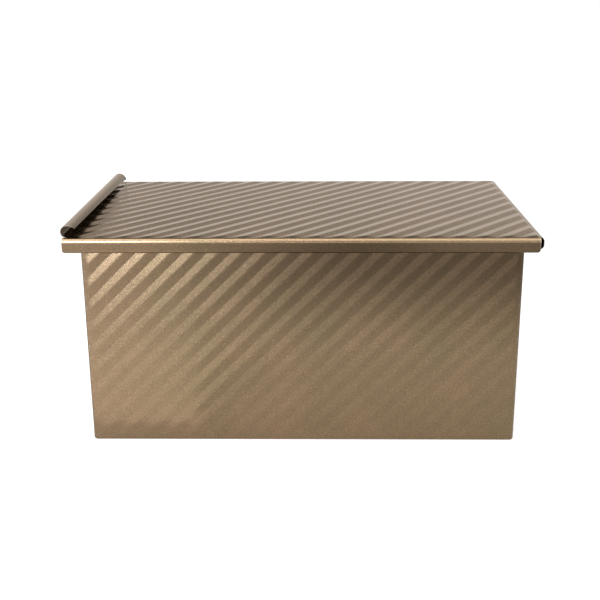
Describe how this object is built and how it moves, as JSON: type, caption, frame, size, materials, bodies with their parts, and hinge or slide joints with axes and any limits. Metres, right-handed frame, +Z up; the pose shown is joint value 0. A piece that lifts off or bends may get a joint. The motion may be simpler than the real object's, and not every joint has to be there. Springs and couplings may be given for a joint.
{
  "type": "pullman loaf pan",
  "caption": "Folded steel loaf pan with ripple-embossed walls, a wire-stiffened rim and a lid that slides along the rim on folded rails.",
  "frame": {"origin": "middle of the underside of the base, which is also the bottom centre of the overall box", "axes": "+X along the pan, the way the lid slides off; +Z up; the long front wall faces -Y"},
  "size_m": [0.25, 0.13, 0.1245],
  "materials": {
    "coated_steel": "satin metallic non-stick coating",
    "steel_wire": "drawn wire"
  },
  "bodies": {
    "pan": {"pan_body": "coated_steel", "rim_wire": "steel_wire"},
    "lid": {"lid": "coated_steel"}
  },
  "joints": [
    {"name": "lid_slide", "type": "slide", "parent": "pan", "child": "lid", "axis": [1, 0, 0], "range_m": [0, 0.245]}
  ]
}
